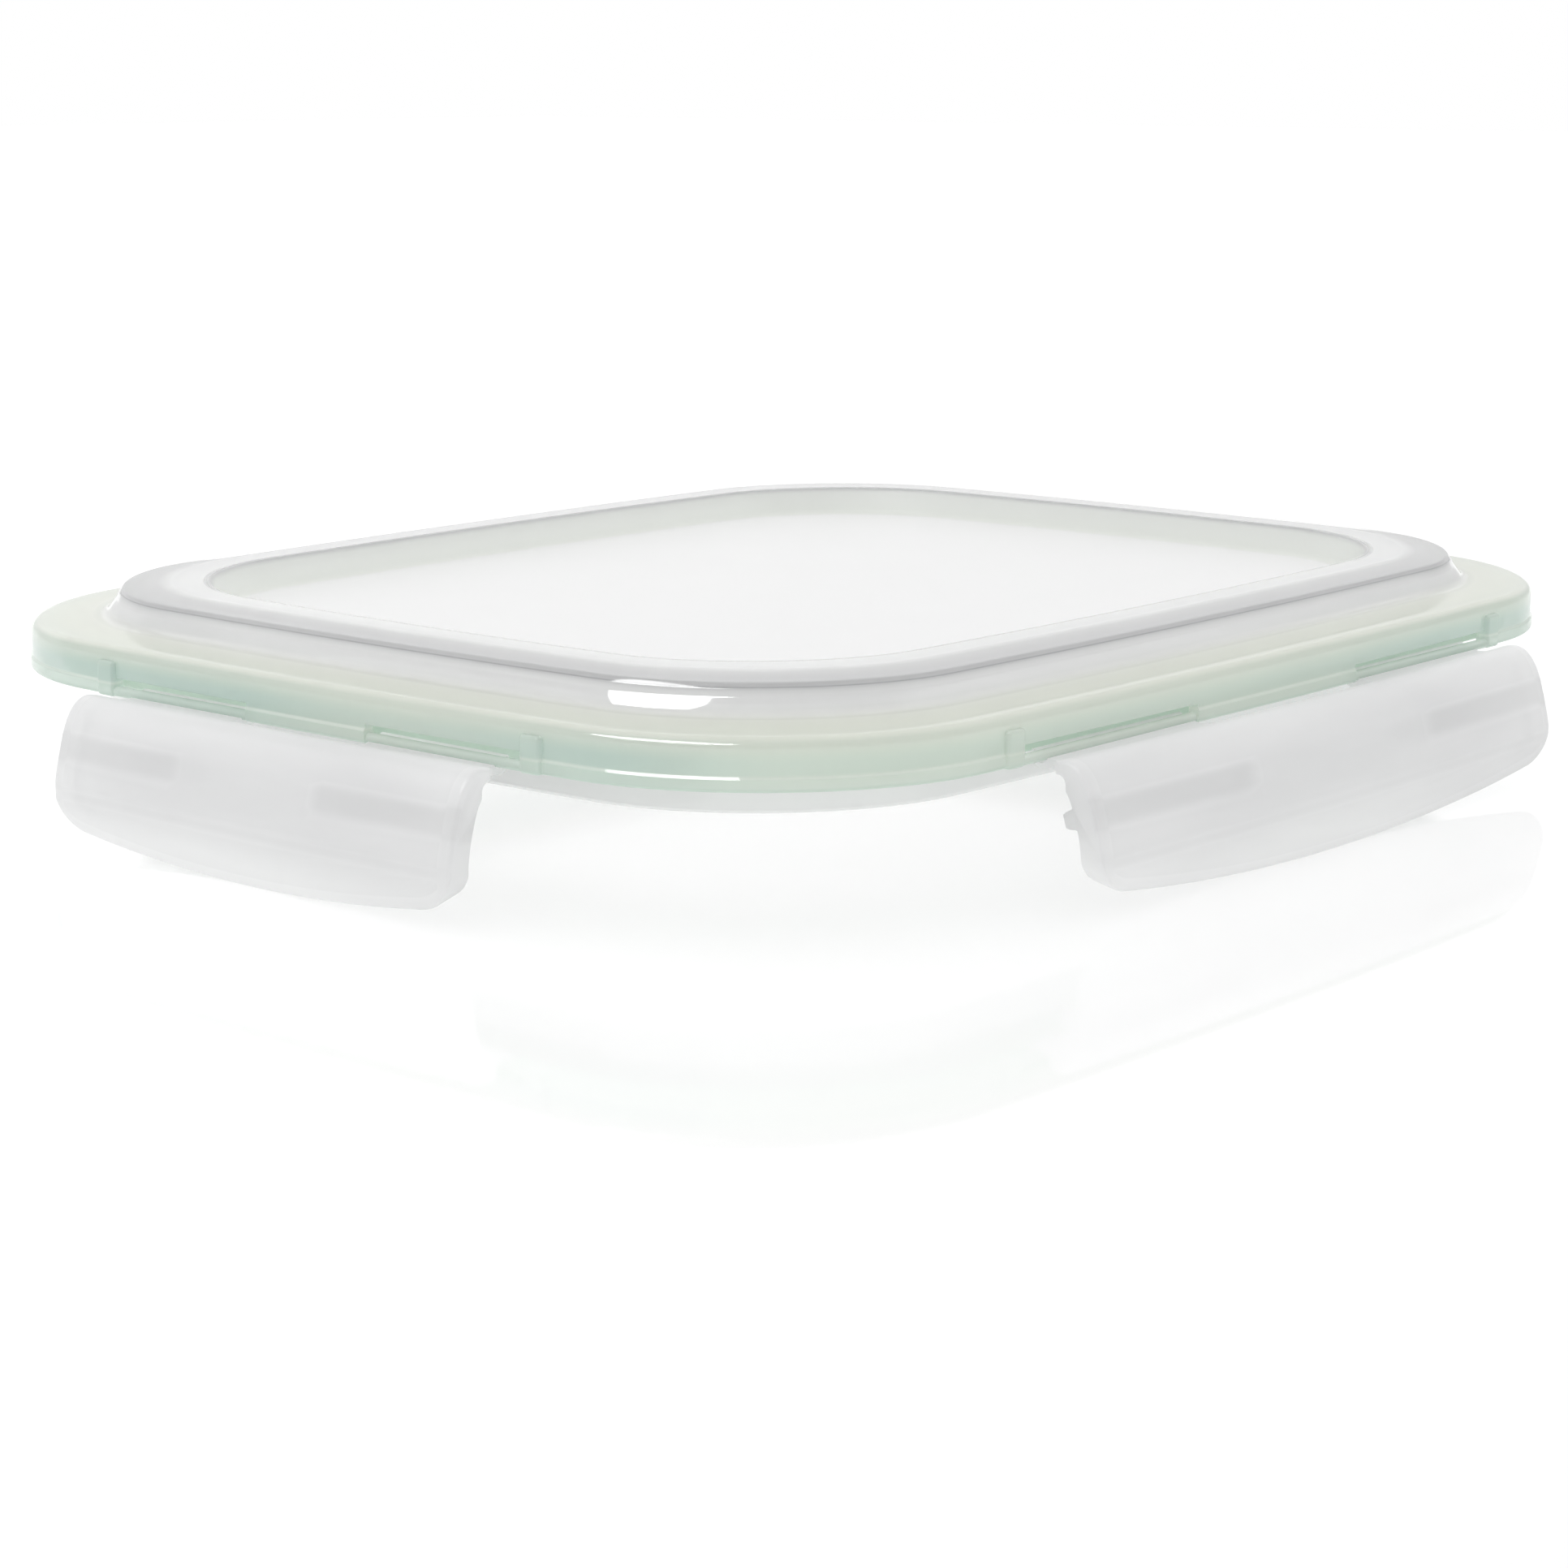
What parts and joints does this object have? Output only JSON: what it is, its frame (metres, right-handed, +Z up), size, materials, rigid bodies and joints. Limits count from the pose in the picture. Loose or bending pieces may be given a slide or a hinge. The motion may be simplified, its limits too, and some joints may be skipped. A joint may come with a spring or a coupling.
{
  "type": "food storage container lid",
  "caption": "Clip-on lid of a rectangular food storage dish: clear moulding with a raised stacking rim, soft seal ring, and hinged latches that swing out from its sides.",
  "frame": {"origin": "on the floor under the lid's centre, with the lid standing on its hanging latches", "axes": "+Z up; +X across the lid's short direction, towards right_latch; +Y along its long direction, towards rear_latch; front_latch faces -Y"},
  "size_m": [0.1884, 0.2204, 0.0298],
  "materials": {
    "clear_plastic": "clear, polished",
    "mint_silicone": "translucent mint silicone, satin",
    "frosted_plastic": "frosted, slightly translucent"
  },
  "bodies": {
    "lid": {"lid_body": "clear_plastic", "seal_ring": "mint_silicone"},
    "front_latch": {"front_latch": "frosted_plastic"},
    "rear_latch": {"rear_latch": "frosted_plastic"},
    "left_latch": {"left_latch": "frosted_plastic"},
    "right_latch": {"right_latch": "frosted_plastic"}
  },
  "joints": [
    {"name": "front_latch_hinge", "type": "hinge", "parent": "lid", "child": "front_latch", "pos_m": [0, -0.09764, 0.01902], "axis": [-1, 0, 0], "range_deg": [-35, 70]},
    {"name": "rear_latch_hinge", "type": "hinge", "parent": "lid", "child": "rear_latch", "pos_m": [0, 0.09764, 0.01902], "axis": [1, 0, 0], "range_deg": [-35, 70]},
    {"name": "left_latch_hinge", "type": "hinge", "parent": "lid", "child": "left_latch", "pos_m": [-0.08152, 0, 0.01902], "axis": [0, 1, 0], "range_deg": [-35, 70]},
    {"name": "right_latch_hinge", "type": "hinge", "parent": "lid", "child": "right_latch", "pos_m": [0.08152, 0, 0.01902], "axis": [0, -1, 0], "range_deg": [-35, 70]}
  ]
}
